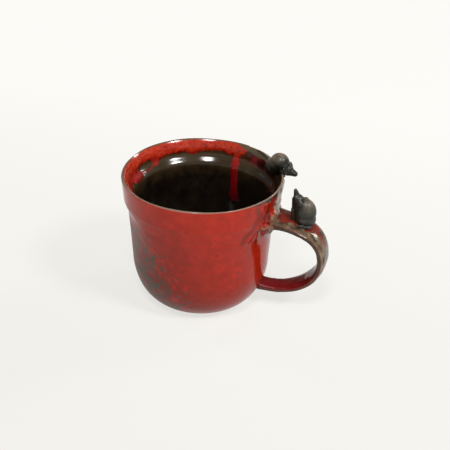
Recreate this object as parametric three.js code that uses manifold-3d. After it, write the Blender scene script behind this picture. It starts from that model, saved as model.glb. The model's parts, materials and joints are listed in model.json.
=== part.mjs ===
// A thrown stoneware mug with a pulled strap handle and two little mice.
// One mouse climbs out over the rim and looks down, the other sits on the handle and looks up at it.
// Millimetres, +Z up. The origin is the middle of the flat base, and the handle is on +X.
import * as THREE from "three";
import { mergeVertices } from "three/addons/utils/BufferGeometryUtils.js";
import Module from "manifold-3d";

const wasm = await Module();
wasm.setup();

// Cup: the flat base and the belly, how far each part above stands out past the one below, then heights and walls
const BASE_RADIUS = 22.5;
const BELLY_RADIUS = 43.3;
const NECK_FLARE = 2.3;
const COLLAR_STEP = 3.3;
const RIM_FLARE = 1.1;
const CUP_HEIGHT = 86;
const BOTTOM_HEIGHT = 31;
const COLLAR_HEIGHT = 12.5;
const SHOULDER_HEIGHT = 13;
const WALL = 4;
const LIP_WALL = 2.8;
const FLOOR = 6;
const FLOOR_RADIUS = 20;
const INNER_COLLAR_HEIGHT = 7;
const LEDGE_HEIGHT = 10;

// Handle: the strap's middle line, its width and thickness, and the spread of its roots
const HANDLE_TOP_DEPTH = 23.3;
const HANDLE_LOW_HEIGHT = 13.5;
const HANDLE_MIDDLE_HEIGHT = 38.6;
const HANDLE_REACH = 33.2;
const TOP_FALL = 1.1;
const TOP_PULL = 21.4;
const UPPER_PULL = 17.4;
const LOWER_PULL = 12;
const LOW_PULL = 26.6;
const LOW_DIP = 4.6;
const STRAP_TOP_WIDTH = 22.4;
const STRAP_LOW_WIDTH = 8;
const STRAP_TOP_THICKNESS = 6.8;
const STRAP_LOW_THICKNESS = 4.5;
const STRAP_TAPER = 0.6;
const STRAP_SQUARENESS = 3.8;
const ROOT_SINK = 2.2;
const ROOT_SPREAD = 3;
const ROOT_DEPTH = 7;
const HEEL_SPREAD = 3;
const SPREAD_LENGTH = 6.5;

// Both mice: head, ears, eyes, paws and tail
const SKULL_RADIUS = 3.7;
const SNOUT_LENGTH = 7.2;
const SNOUT_FULLNESS = 0.4;
const NOSE_RADIUS = 1.25;
const EAR_RADIUS = 2.6;
const EAR_WALL = 0.9;
const EYE_RADIUS = 0.75;
const PAW_RADIUS = 1.3;
const TAIL_RADIUS = 1.2;
const TAIL_TIP_RADIUS = 0.6;

// Places on a head, as shares of the skull's radius: forwards, out to the side and up
const EAR_PLACE = [-0.2, 0.9, 0.3];
const EYE_PLACE = [0.3, 0.85, 0.36];
const EAR_FACING = [0.8, 0.15, 0.6];
const EAR_DISH = 0.4;

// Rounds that make up a body, as shares of its length, width and height: how big each is and where it sits
const RIM_HAUNCHES = { size: [0.85, 0.95, 1], place: [-0.36, 0, -0.36] };
const RIM_NECK = { size: [0.6, 0.72, 0.7], place: [0.3, 0, -0.14] };
const HANDLE_SEAT = { size: [1, 0.94, 0.75], place: [0, 0, -0.25] };
const HANDLE_CHEST = { size: [0.55, 0.7, 0.84], place: [0.26, 0, 0.08] };
const RIM_SHOULDER = [0.28, 0.36, -0.28];
const RIM_HEAD_PLACE = [0.47, 0, -0.34];
const HANDLE_SHOULDER = [0.42, 0.24, 0.12];
const HANDLE_PAW = [0.5, 0.22, -0.36];
const HANDLE_HEAD_PLACE = [0.36, 0, 0.44];

// The mouse on the rim: its place round the cup, the turn of its body and the drop of its head
const RIM_MOUSE_ANGLE = 24.7;
const RIM_MOUSE_TURN = -40;
const RIM_MOUSE_LIFT = 4.9;
const RIM_MOUSE_LENGTH = 12.4;
const RIM_MOUSE_WIDTH = 10.8;
const RIM_MOUSE_HEIGHT = 11.6;
const RIM_HEAD_DROP = 12;
const RIM_PAW_ANGLE = 8;
const RIM_TAIL_START = 9;
const RIM_TAIL_END = 33;
const RIM_TAIL_INSET = 5.4;

// The mouse on the handle: its place along the strap, its turn, its seat and the lift of its head
const HANDLE_MOUSE_ALONG = 21.1;
const HANDLE_MOUSE_TURN = 168;
const HANDLE_MOUSE_SINK = 0.2;
const HANDLE_MOUSE_LENGTH = 15.6;
const HANDLE_MOUSE_WIDTH = 11.8;
const HANDLE_MOUSE_HEIGHT = 15.6;
const HANDLE_HEAD_LIFT = 80;
const HANDLE_TAIL_SIDE = 5.9;
const HANDLE_TAIL_BACK = 5.2;

// The slip that joins two pieces of clay, and how finely the round forms are divided
const SLIP_SEAM = 0.3;
const TURN_STEPS = 64;
const CURVE_STEPS = 5;
const STRAP_STEPS = 44;
const STRAP_SIDES = 16;
const TAIL_STEPS = 12;
const TAIL_SIDES = 8;
const BODY_SIDES = 18;
const HEAD_STEPS = 12;
const LEG_SIDES = 10;

const radians = THREE.MathUtils.degToRad;
const vector = (x, y, z) => new THREE.Vector3(x, y, z);
const SIDES = [["left", 1], ["right", -1]];
const onSide = (way, [forwards, out, up]) => vector(forwards, way * out, up);

// Solids: a closed geometry goes in, and the result of joins and cuts comes back out
function solid(geometry) {
  const bare = geometry.clone();
  bare.deleteAttribute("normal");
  bare.deleteAttribute("uv");
  const { index, attributes } = mergeVertices(bare);
  const corners = [];
  for (let i = 0; i < index.count; i += 3) {
    const [a, b, c] = [index.getX(i), index.getX(i + 1), index.getX(i + 2)];
    if (a !== b && b !== c && c !== a) corners.push(a, b, c);
  }
  const vertProperties = attributes.position.array;
  const triVerts = new Uint32Array(corners);
  return new wasm.Manifold(new wasm.Mesh({ numProp: 3, vertProperties, triVerts }));
}

function geometryOf(body) {
  const { vertProperties, triVerts } = body.getMesh();
  const geometry = new THREE.BufferGeometry();
  geometry.setAttribute("position", new THREE.BufferAttribute(vertProperties, 3));
  geometry.setIndex(new THREE.BufferAttribute(triVerts, 1));
  return geometry;
}

function join(first, ...others) {
  const whole = others.reduce((body, other) => body.add(solid(other)), solid(first));
  return geometryOf(whole);
}

// A closed skin over rings of points, which run counter-clockwise round the way they follow
function skin(rings) {
  const sides = rings[0].length;
  const middle = (ring) => ring.reduce((sum, point) => sum.add(point), vector(0, 0, 0)).divideScalar(sides);
  const points = [...rings.flat(), middle(rings[0]), middle(rings.at(-1))];
  const start = rings.length * sides;
  const end = start + 1;
  const corners = [];
  for (let j = 0; j < sides; j++) {
    const k = (j + 1) % sides;
    for (let row = 0; row < start - sides; row += sides) {
      corners.push(row + j, row + k, row + sides + j);
      corners.push(row + k, row + sides + k, row + sides + j);
    }
    corners.push(start, k, j);
    corners.push(end, start - sides + j, start - sides + k);
  }
  const geometry = new THREE.BufferGeometry().setFromPoints(points);
  geometry.setIndex(corners);
  return geometry;
}

// A rounded bar along a curve, with half its width and half its thickness given by the distance along it
function bar(curve, steps, sides, squareness, halves) {
  const { normals, binormals } = curve.computeFrenetFrames(steps, false);
  const length = curve.getLength();
  const rounded = (value) => Math.sign(value) * Math.abs(value) ** (2 / squareness);
  const rings = normals.map((normal, i) => {
    const middle = curve.getPointAt(i / steps);
    const [across, through] = halves((i / steps) * length, length);
    return Array.from({ length: sides }, (_, j) => {
      const turn = (j / sides) * 2 * Math.PI;
      const point = middle.clone().addScaledVector(normal, across * rounded(Math.cos(turn)));
      return point.addScaledVector(binormals[i], through * rounded(Math.sin(turn)));
    });
  });
  return skin(rings);
}

function ellipsoid(length, width, height, grow, sides = BODY_SIDES) {
  const ball = new THREE.SphereGeometry(1, sides, Math.round(sides * 0.6));
  return ball.scale(length / 2 + grow, width / 2 + grow, height / 2 + grow);
}

// A mesh keeps its form swollen by the slip seam too, for cutting its neighbours back
function piece(parent, name, form, color, roughness) {
  const mesh = new THREE.Mesh(form(0), new THREE.MeshStandardMaterial({ color, roughness }));
  mesh.name = name;
  mesh.userData.swollen = form(SLIP_SEAM);
  parent.add(mesh);
  return mesh;
}

// Presses a piece onto others: what would run into them is cut back to the seam
function press(mesh, ...others) {
  mug.updateMatrixWorld(true);
  const inPlace = (geometry, owner) => solid(geometry.clone().applyMatrix4(owner.matrixWorld));
  const cut = others.reduce(
    (body, other) => body.subtract(inPlace(other.userData.swollen, other)),
    inPlace(mesh.geometry, mesh),
  );
  mesh.geometry = geometryOf(cut).applyMatrix4(mesh.matrixWorld.clone().invert());
}

const RED_GLAZE = 0x9e3a2d;
const DARK_RED_GLAZE = 0x87382c;
const BRONZE_GLAZE = 0x4b453d;
const BLACK_GLAZE = 0x14110f;

const mug = new THREE.Group();

// Cup: one turned wall with a round bottom, a collar that steps out below the rim, and a ledge inside it
const neckRadius = BELLY_RADIUS + NECK_FLARE;
const collarRadius = neckRadius + COLLAR_STEP;
const rimRadius = collarRadius + RIM_FLARE;
const shoulderTop = CUP_HEIGHT - COLLAR_HEIGHT;
const shoulderFoot = shoulderTop - SHOULDER_HEIGHT;
const ledgeTop = CUP_HEIGHT - INNER_COLLAR_HEIGHT;
const ledgeFoot = ledgeTop - LEDGE_HEIGHT;
const lipHeight = CUP_HEIGHT - LIP_WALL / 2;
const lipRadius = rimRadius - LIP_WALL / 2;

function cup(grow) {
  const outline = new THREE.Path();
  const neck = neckRadius + grow;
  const collar = collarRadius + grow;
  const shoulderMiddle = (shoulderFoot + shoulderTop) / 2;
  outline.moveTo(0, -grow);
  outline.lineTo(BASE_RADIUS, -grow);
  const bulge = BELLY_RADIUS - BASE_RADIUS + grow;
  outline.absellipse(BASE_RADIUS, BOTTOM_HEIGHT, bulge, BOTTOM_HEIGHT + grow, -Math.PI / 2, 0, false);
  outline.lineTo(neck, shoulderFoot);
  outline.bezierCurveTo(neck, shoulderMiddle, collar, shoulderMiddle, collar, shoulderTop);
  outline.lineTo(rimRadius + grow, lipHeight);
  outline.absarc(lipRadius, lipHeight, LIP_WALL / 2 + grow, 0, Math.PI, false);
  const innerCollar = collarRadius - LIP_WALL - grow;
  const innerNeck = neckRadius - WALL - grow;
  const ledgeMiddle = (ledgeFoot + ledgeTop) / 2;
  outline.lineTo(innerCollar, ledgeTop);
  outline.bezierCurveTo(innerCollar, ledgeMiddle, innerNeck, ledgeMiddle, innerNeck, ledgeFoot);
  const hollow = BELLY_RADIUS - WALL - FLOOR_RADIUS - grow;
  const depth = BOTTOM_HEIGHT - FLOOR - grow;
  outline.absellipse(FLOOR_RADIUS, BOTTOM_HEIGHT, hollow, depth, 0, -Math.PI / 2, true);
  outline.lineTo(0, FLOOR + grow);
  return new THREE.LatheGeometry(outline.getPoints(CURVE_STEPS), TURN_STEPS).rotateX(Math.PI / 2);
}

const cupBody = piece(mug, "cup_body", cup, RED_GLAZE, 0.35);

// Outside radius of the rounded bottom at a height
function bottomRadius(height) {
  const rise = 1 - height / BOTTOM_HEIGHT;
  return BASE_RADIUS + (BELLY_RADIUS - BASE_RADIUS) * Math.sqrt(1 - rise * rise);
}

// Handle: a strap that leaves the wall under the collar, bends over and tapers down to the bottom
const handleTop = CUP_HEIGHT - HANDLE_TOP_DEPTH;
const handleOut = neckRadius + HANDLE_REACH;
const rootStart = neckRadius - ROOT_SINK;
const heelEnd = bottomRadius(HANDLE_LOW_HEIGHT) - ROOT_SINK;

const strapLine = new THREE.CurvePath();
strapLine.add(
  new THREE.CubicBezierCurve3(
    vector(rootStart, 0, handleTop),
    vector(rootStart + TOP_PULL, 0, handleTop - TOP_FALL),
    vector(handleOut, 0, HANDLE_MIDDLE_HEIGHT + UPPER_PULL),
    vector(handleOut, 0, HANDLE_MIDDLE_HEIGHT),
  ),
);
strapLine.add(
  new THREE.CubicBezierCurve3(
    vector(handleOut, 0, HANDLE_MIDDLE_HEIGHT),
    vector(handleOut, 0, HANDLE_MIDDLE_HEIGHT - LOWER_PULL),
    vector(heelEnd + LOW_PULL, 0, HANDLE_LOW_HEIGHT - LOW_DIP),
    vector(heelEnd, 0, HANDLE_LOW_HEIGHT),
  ),
);

// Width and thickness of the strap: it thins from top to bottom and spreads where it meets the wall
function strapSize(along, length) {
  const left = (1 - along / length) ** STRAP_TAPER;
  const root = Math.exp(-along / SPREAD_LENGTH);
  const heel = Math.exp((along - length) / SPREAD_LENGTH);
  const width = STRAP_LOW_WIDTH + (STRAP_TOP_WIDTH - STRAP_LOW_WIDTH) * left;
  const thickness = STRAP_LOW_THICKNESS + (STRAP_TOP_THICKNESS - STRAP_LOW_THICKNESS) * left;
  const flare = HEEL_SPREAD * heel;
  return [width + ROOT_SPREAD * root + flare, thickness + ROOT_DEPTH * root + flare];
}

function strap(grow) {
  const halves = (along, length) => strapSize(along, length).map((size) => size / 2 + grow);
  return bar(strapLine, STRAP_STEPS, STRAP_SIDES, STRAP_SQUARENESS, halves);
}

const handle = piece(mug, "handle", strap, DARK_RED_GLAZE, 0.3);
press(handle, cupBody);

// Mouse parts, each about its own middle, with the nose towards +X and the left side towards +Y
function head(grow) {
  const nose = SNOUT_LENGTH - NOSE_RADIUS;
  const skull = SKULL_RADIUS + grow;
  const muzzle = THREE.MathUtils.lerp(NOSE_RADIUS, SKULL_RADIUS, SNOUT_FULLNESS) + grow;
  const profile = new THREE.SplineCurve([
    new THREE.Vector2(0, -skull),
    new THREE.Vector2(skull * Math.SQRT1_2, -skull * Math.SQRT1_2),
    new THREE.Vector2(skull, 0),
    new THREE.Vector2(muzzle, nose / 2),
    new THREE.Vector2(NOSE_RADIUS + grow, nose),
    new THREE.Vector2(0, SNOUT_LENGTH + grow),
  ]);
  return new THREE.LatheGeometry(profile.getPoints(HEAD_STEPS), BODY_SIDES).rotateZ(-Math.PI / 2);
}

// A body is one big round with smaller ones worked into it
function bodyOf(whole, ...rounds) {
  return (grow) => {
    const smaller = rounds.map(({ size, place }) => {
      const round = ellipsoid(...vector(...size).multiply(whole), grow);
      return round.translate(...vector(...place).multiply(whole));
    });
    return join(ellipsoid(...whole, grow), ...smaller);
  };
}

// An ear is a small dished disc that opens along +X
function ear(grow) {
  const radius = EAR_RADIUS + grow;
  const dish = EAR_RADIUS * EAR_DISH;
  const profile = new THREE.Path();
  profile.moveTo(0, -grow);
  profile.quadraticCurveTo(radius, -grow, radius, dish);
  profile.lineTo(EAR_RADIUS - EAR_WALL / 2, dish + EAR_WALL / 2 + grow);
  profile.quadraticCurveTo(EAR_RADIUS / 2, EAR_WALL + grow, 0, EAR_WALL + grow);
  return new THREE.LatheGeometry(profile.getPoints(CURVE_STEPS), BODY_SIDES).rotateZ(-Math.PI / 2);
}

const eye = (grow) => new THREE.SphereGeometry(EYE_RADIUS + grow, 8, 6);

function tail(points) {
  const curve = new THREE.CatmullRomCurve3(points);
  const taper = (along, length) => THREE.MathUtils.lerp(TAIL_RADIUS, TAIL_TIP_RADIUS, along / length);
  return (grow) =>
    bar(curve, TAIL_STEPS, TAIL_SIDES, 2, (along, length) => {
      const radius = taper(along, length) + grow;
      return [radius, radius];
    });
}

// Head with its ears and eyes: the ears stand on the back of the skull, the eyes where the snout begins
function addHead(animal, name, body) {
  const skull = piece(animal, name + "_head", head, BRONZE_GLAZE, 0.35);
  press(skull, body);
  for (const [side, way] of SIDES) {
    const flap = piece(animal, name + "_" + side + "_ear", ear, BRONZE_GLAZE, 0.4);
    flap.position.copy(onSide(way, EAR_PLACE)).multiplyScalar(SKULL_RADIUS);
    flap.quaternion.setFromUnitVectors(vector(1, 0, 0), onSide(way, EAR_FACING).normalize());
    press(flap, skull, body);
    const bead = piece(animal, name + "_" + side + "_eye", eye, BLACK_GLAZE, 0.1);
    bead.position.copy(onSide(way, EYE_PLACE)).multiplyScalar(SKULL_RADIUS);
    press(bead, skull);
  }
  return skull;
}

// A foreleg from the shoulder to the paw
function addForeleg(animal, name, shoulder, toe, ...others) {
  const reach = toe.clone().sub(shoulder);
  const length = reach.length() + PAW_RADIUS;
  const form = (grow) => ellipsoid(length, PAW_RADIUS * 2, PAW_RADIUS * 2, grow, LEG_SIDES);
  const leg = piece(animal, name, form, BRONZE_GLAZE, 0.35);
  leg.position.copy(shoulder).addScaledVector(reach, 0.5);
  leg.quaternion.setFromUnitVectors(vector(1, 0, 0), reach.normalize());
  press(leg, ...others);
}

// A point by the lip: degrees round the cup, then how far outwards from the lip's middle and above its top
function byLip(angle, out, up) {
  const turn = radians(angle);
  return vector((lipRadius + out) * Math.cos(turn), (lipRadius + out) * Math.sin(turn), CUP_HEIGHT + up);
}

// A point on the strap: how far along it from the root, then how far across it and above its face
function onStrap(along, across, up) {
  const length = strapLine.getLength();
  const way = along / length;
  const thickness = strapSize(along, length)[1];
  const ahead = strapLine.getTangentAt(way);
  const lift = vector(-ahead.z, 0, ahead.x).multiplyScalar(thickness / 2 + up);
  return strapLine.getPointAt(way).add(lift).add(vector(0, across, 0));
}

// Mouse on the rim: it straddles the lip with its haunches inside the cup and its head outside
const rimMouse = new THREE.Group();
rimMouse.position.copy(byLip(RIM_MOUSE_ANGLE, 0, RIM_MOUSE_LIFT));
rimMouse.rotation.z = radians(RIM_MOUSE_ANGLE + RIM_MOUSE_TURN);
mug.add(rimMouse);

const rimSize = vector(RIM_MOUSE_LENGTH, RIM_MOUSE_WIDTH, RIM_MOUSE_HEIGHT);
const rimForm = bodyOf(rimSize, RIM_HAUNCHES, RIM_NECK);
const rimBody = piece(rimMouse, "rim_mouse_body", rimForm, BRONZE_GLAZE, 0.35);
press(rimBody, cupBody);

const rimHead = new THREE.Group();
rimHead.position.set(...RIM_HEAD_PLACE).multiply(rimSize);
rimHead.rotation.y = radians(RIM_HEAD_DROP);
rimMouse.add(rimHead);
const rimSkull = addHead(rimHead, "rim_mouse", rimBody);

for (const [side, way] of SIDES) {
  const shoulder = onSide(way, RIM_SHOULDER).multiply(rimSize);
  const toe = byLip(RIM_MOUSE_ANGLE + way * RIM_PAW_ANGLE, LIP_WALL / 2, -PAW_RADIUS);
  const name = "rim_mouse_" + side + "_foreleg";
  addForeleg(rimMouse, name, shoulder, rimMouse.worldToLocal(toe), rimBody, rimSkull, cupBody);
}

const rimTailMiddle = (RIM_TAIL_START + RIM_TAIL_END) / 2;
const rimTailForm = tail([
  byLip(RIM_MOUSE_ANGLE + RIM_TAIL_START / 2, -RIM_TAIL_INSET, 0),
  byLip(RIM_MOUSE_ANGLE + RIM_TAIL_START, -RIM_TAIL_INSET / 2, TAIL_RADIUS),
  byLip(RIM_MOUSE_ANGLE + rimTailMiddle, 0, TAIL_RADIUS),
  byLip(RIM_MOUSE_ANGLE + RIM_TAIL_END, 0, TAIL_TIP_RADIUS),
]);
const rimTail = piece(mug, "rim_mouse_tail", rimTailForm, BRONZE_GLAZE, 0.35);
press(rimTail, rimBody, cupBody);

// Mouse on the handle: it sits on the strap facing the cup, with its nose in the air
const handleMouse = new THREE.Group();
handleMouse.position.copy(onStrap(HANDLE_MOUSE_ALONG, 0, 0));
handleMouse.position.z += HANDLE_MOUSE_HEIGHT / 2 - HANDLE_MOUSE_SINK;
handleMouse.rotation.z = radians(HANDLE_MOUSE_TURN);
mug.add(handleMouse);

const handleMouseSize = vector(HANDLE_MOUSE_LENGTH, HANDLE_MOUSE_WIDTH, HANDLE_MOUSE_HEIGHT);
const handleMouseForm = bodyOf(handleMouseSize, HANDLE_SEAT, HANDLE_CHEST);
const handleBody = piece(handleMouse, "handle_mouse_body", handleMouseForm, BRONZE_GLAZE, 0.35);
press(handleBody, handle, cupBody);

const handleHead = new THREE.Group();
handleHead.position.set(...HANDLE_HEAD_PLACE).multiply(handleMouseSize);
handleHead.rotation.y = radians(-HANDLE_HEAD_LIFT);
handleMouse.add(handleHead);
const handleSkull = addHead(handleHead, "handle_mouse", handleBody);

for (const [side, way] of SIDES) {
  const shoulder = onSide(way, HANDLE_SHOULDER).multiply(handleMouseSize);
  const toe = onSide(way, HANDLE_PAW).multiply(handleMouseSize);
  const name = "handle_mouse_" + side + "_foreleg";
  addForeleg(handleMouse, name, shoulder, toe, handleBody, handleSkull, handle);
}

const handleTailForm = tail([
  onStrap(HANDLE_MOUSE_ALONG + HANDLE_TAIL_BACK, -HANDLE_TAIL_SIDE / 3, TAIL_RADIUS),
  onStrap(HANDLE_MOUSE_ALONG + HANDLE_TAIL_BACK, -HANDLE_TAIL_SIDE, 0),
  onStrap(HANDLE_MOUSE_ALONG, -HANDLE_TAIL_SIDE, 0),
  onStrap(HANDLE_MOUSE_ALONG - HANDLE_TAIL_BACK, -HANDLE_TAIL_SIDE, 0),
]);
const handleTail = piece(mug, "handle_mouse_tail", handleTailForm, BRONZE_GLAZE, 0.35);
press(handleTail, handleBody, handle);

export default mug;
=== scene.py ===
# %% [markdown]
# # A red-glazed mug with two mice
# A potter throws this mug on a wheel, pulls a handle for it and models two mice by hand. Then it is dipped
# in a copper glaze and fired. We work in the same order, with each piece's glaze beside it, and add the
# light last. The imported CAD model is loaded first. It is the fixed frame: every piece we make stands where
# its CAD node stands. Sizes are written in millimetres, and MM turns them into Blender's metres.

# %% The frame
import bpy
import json
import math
from bisect import bisect_right
from mathutils import Euler, Matrix, Quaternion, Vector, noise
from mathutils.geometry import interpolate_bezier

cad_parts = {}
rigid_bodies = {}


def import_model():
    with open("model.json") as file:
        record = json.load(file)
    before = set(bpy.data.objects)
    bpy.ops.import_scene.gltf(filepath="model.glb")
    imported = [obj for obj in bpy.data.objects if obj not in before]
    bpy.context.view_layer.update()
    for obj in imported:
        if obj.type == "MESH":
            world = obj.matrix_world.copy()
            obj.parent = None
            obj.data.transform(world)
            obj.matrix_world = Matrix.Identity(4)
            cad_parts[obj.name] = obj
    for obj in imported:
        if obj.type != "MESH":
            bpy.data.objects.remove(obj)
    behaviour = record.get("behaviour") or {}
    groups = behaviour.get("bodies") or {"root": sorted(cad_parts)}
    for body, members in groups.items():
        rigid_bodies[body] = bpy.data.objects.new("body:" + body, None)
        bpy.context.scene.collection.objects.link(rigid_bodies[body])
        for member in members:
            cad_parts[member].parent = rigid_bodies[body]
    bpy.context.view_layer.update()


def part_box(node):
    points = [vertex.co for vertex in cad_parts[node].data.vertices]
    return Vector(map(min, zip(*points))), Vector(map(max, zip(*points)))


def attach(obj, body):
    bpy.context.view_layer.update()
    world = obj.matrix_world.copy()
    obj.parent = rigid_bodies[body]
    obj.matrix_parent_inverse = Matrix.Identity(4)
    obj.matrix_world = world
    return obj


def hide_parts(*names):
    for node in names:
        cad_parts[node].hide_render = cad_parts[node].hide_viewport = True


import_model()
MM = 0.001


def in_mm(values):
    return [round(v / MM, 1) for v in values]


# %% [markdown]
# ## The camera
# A camera comes early, because every later choice is judged through it. The mug was seen from about 30
# degrees above, with its handle on the right, from roughly 70 centimetres away. The picture leans by two
# degrees, so the camera is rolled about its own line of sight.

# %% Camera
EYE = Vector((155.8, -585.3, 401.06)) * MM
AIM = Vector((14.47, 3.47, 49.79)) * MM
LEAN, LENS, SENSOR = math.radians(1.9), 88.48, 36


def deselect():
    bpy.ops.object.select_all(action="DESELECT")


deselect()
bpy.ops.object.camera_add(location=EYE)
camera = bpy.context.object
camera.name = "photo_camera"
camera.data.lens = LENS
camera.data.sensor_width = SENSOR
camera.rotation_mode = "QUATERNION"
camera.rotation_quaternion = (AIM - EYE).to_track_quat("-Z", "Y") @ Quaternion((0, 0, 1), LEAN)
bpy.context.scene.camera = camera
bpy.context.scene.view_settings.view_transform = "Standard"
print("camera is", round((AIM - EYE).length, 3), "m from its aim")

# %% [markdown]
# ## The outline of the cup
# A thrown cup is one outline turned about its axis. We draw half of its section: flat base, round bottom,
# slightly flaring wall, the shoulder that steps out to the collar, the thin lip, and back down inside over
# the ledge to the floor. Straight pieces, bows of an oval and S-bends are enough. Each point is a radius
# and a height.

# %% Cup outline
BASE, BELLY, NECK, COLLAR, RIM = 22.5, 43.3, 45.6, 48.9, 50.0
HEIGHT, BOTTOM, SHOULDER_FOOT, SHOULDER_TOP = 86.0, 31.0, 60.5, 73.5
WALL, LIP, LIP_ROUND, FLOOR, FLOOR_RADIUS = 4.0, 2.8, 0.8, 6.0, 20.0
LEDGE_FOOT, LEDGE_TOP = 69.0, 79.0
LIP_TURN, LIP_BEVEL = 110, Vector((-1.05, -1.2))
BASE_STEPS, BEVEL_POINTS = 8, 15


def straight(start, end, steps):
    return [Vector(start).lerp(Vector(end), k / steps) for k in range(1, steps + 1)]


def bow(middle, radii, first, last, steps):
    turns = [math.radians(first + (last - first) * k / steps) for k in range(1, steps + 1)]
    return [Vector((middle[0] + radii[0] * math.cos(t), middle[1] + radii[1] * math.sin(t))) for t in turns]


def s_bend(start, end, steps):
    half = (start[1] + end[1]) / 2
    handles = Vector((start[0], half)), Vector((end[0], half))
    return interpolate_bezier(Vector(start), *handles, Vector(end), steps + 1)[1:]


lip_middle = (RIM - LIP_ROUND, HEIGHT - LIP_ROUND)
outside_line = [Vector((0, 0))]
outside_line += straight((0, 0), (BASE, 0), BASE_STEPS)
outside_line += bow((BASE, BOTTOM), (BELLY - BASE, BOTTOM), -90, 0, steps=40)
outside_line += straight((BELLY, BOTTOM), (NECK, SHOULDER_FOOT), steps=26)
outside_line += s_bend((NECK, SHOULDER_FOOT), (COLLAR, SHOULDER_TOP), steps=14)
outside_line += straight((COLLAR, SHOULDER_TOP), (RIM, lip_middle[1]), steps=12)
lip_line = bow(lip_middle, (LIP_ROUND, LIP_ROUND), 0, LIP_TURN, steps=10)
crest = lip_line[-1]
ledge = Vector((COLLAR - LIP, LEDGE_TOP))
inside_line = interpolate_bezier(crest, crest + LIP_BEVEL, crest + 2 * LIP_BEVEL, ledge, BEVEL_POINTS)[1:]
inside_line += s_bend(ledge, (NECK - WALL, LEDGE_FOOT), steps=18)
inside_line += straight((NECK - WALL, LEDGE_FOOT), (BELLY - WALL, BOTTOM), steps=34)
inside_line += bow((FLOOR_RADIUS, BOTTOM), (BELLY - WALL - FLOOR_RADIUS, BOTTOM - FLOOR), 0, -90, steps=26)
inside_line += straight((FLOOR_RADIUS, FLOOR), (0, FLOOR), steps=8)
outline = outside_line + lip_line + inside_line
print("the cup's outline has", len(outline), "points")

# %% [markdown]
# ## Throwing the cup
# A plane merged to a single point is a pencil tip: extruding it again and again draws the outline, and Spin
# turns the outline into a cup, as the wheel does. A solid cut out of a cylinder would need far more work
# for the same lip and ledge. Spin leaves its first and last copy on top of each other, so doubles are
# merged and the normals recalculated.

# %% Cup body
TURNS, DOUBLES = 288, 0.01 * MM


def mode(name):
    bpy.ops.object.mode_set(mode=name)


def select_all_points():
    bpy.ops.mesh.select_all(action="SELECT")


deselect()
bpy.ops.mesh.primitive_plane_add(size=MM)
cup = bpy.context.object
cup.name = "glazed_cup"
mode("EDIT")
select_all_points()
bpy.ops.mesh.merge(type="CENTER")
for here, there in zip(outline, outline[1:]):
    step = (there - here) * MM
    bpy.ops.mesh.extrude_region_move(TRANSFORM_OT_translate={"value": (step.x, 0, step.y)})
select_all_points()
bpy.ops.mesh.spin(steps=TURNS, angle=2 * math.pi, center=(0, 0, 0), axis=(0, 0, 1))
select_all_points()
bpy.ops.mesh.remove_doubles(threshold=DOUBLES)
bpy.ops.mesh.normals_make_consistent(inside=False)
mode("OBJECT")
bpy.ops.object.shade_smooth()
print("the cup has", len(cup.data.polygons), "faces")

# %% [markdown]
# ## Places on the wall
# Glaze runs and thumb marks are easiest to place as a potter would point at them: how far round the cup,
# how high, and on which side of the wall. The handle is at 0 degrees, and degrees run anticlockwise as seen
# from above, so the front of the mug is at about -90.

# %% Places on the wall
outer_heights = [point.y for point in outside_line[BASE_STEPS:]]
outer_radii = [point.x for point in outside_line[BASE_STEPS:]]


def limit(value, low=0, high=1):
    return min(max(value, low), high)


def outer_radius(height):
    k = limit(bisect_right(outer_heights, height), 1, len(outer_heights) - 1)
    low, high = outer_heights[k - 1], outer_heights[k]
    share = limit((height - low) / (high - low))
    return outer_radii[k - 1] + (outer_radii[k] - outer_radii[k - 1]) * share


def wall_place(point):
    radius = math.hypot(point.x, point.y) / MM
    height = point.z / MM
    angle = math.degrees(math.atan2(point.y, point.x))
    inside = height > FLOOR / 2 and radius < outer_radius(height) - LIP_ROUND
    return angle, height, inside


places = [wall_place(vertex.co) for vertex in cup.data.vertices]
print("points inside the cup:", sum(inside for angle, height, inside in places))

# %% [markdown]
# ## Where the red glaze ran over the lip
# The cup was lined with a black glaze, and the red of the outside ran over the lip and down inside. Its
# lower edge is ragged, with one long drip that ends in a bead, and there is a hole in it on the left. We
# describe the run as a distance in millimetres: positive under the red, negative outside it. One such field
# then serves twice, for the thickness of the glaze and for its colour. What wavers gets a grain of noise,
# written as its size in millimetres, a seed and how much it moves things.

# %% Red run inside the lip
RUN_EDGE = [(-180, 73.4), (-165, 73.6), (-145, 76.4), (-110, 77), (-75, 78), (-45, 82), (-28, 88),
            (62, 88), (72, 79), (92, 78.4), (112, 77.4), (128, 78.2), (143, 76.6), (150, 73.8),
            (168, 72.8), (180, 73.4)]
EDGE_WAVES, EDGE_TEETH, EDGE_SHIFT = (7, 3, 1.9), (2.4, 5, 0.5), (3.5, 13, 3)
DRIP_ANGLE, DRIP_TOP, DRIP_FOOT, DRIP_HALF, DRIP_SLANT = 74.2, 82, 50.8, 2.6, 0.07
DRIP_WANDER, DRIP_SWELL = (14, 9, 0.8), (9, 11, 0.16)
BEAD, BEAD_LIFT, BEAD_NARROW, BEAD_TALL = 3.5, 1.2, 0.95, 0.8
HOLE_ANGLE, HOLE_HEIGHT, HOLE_WIDE, HOLE_HIGH = 159, 76.4, 6.2, 2.2
NO_RUN = -9.0


def between(knots, place):
    for (low, first), (high, last) in zip(knots, knots[1:]):
        if low <= place <= high:
            share = (place - low) / (high - low)
            return first + (last - first) * share * share * (3 - 2 * share)
    return knots[-1][1]


def grain(kind, angle, height):
    size, seed, rise = kind
    turn = math.radians(angle)
    spot = Vector((math.cos(turn) * NECK, math.sin(turn) * NECK, height)) / size
    return rise * noise.noise(spot + Vector((seed, 2 * seed, 0)))


def arc(angle, middle):
    return math.radians((angle - middle + 180) % 360 - 180) * (NECK - WALL)


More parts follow.
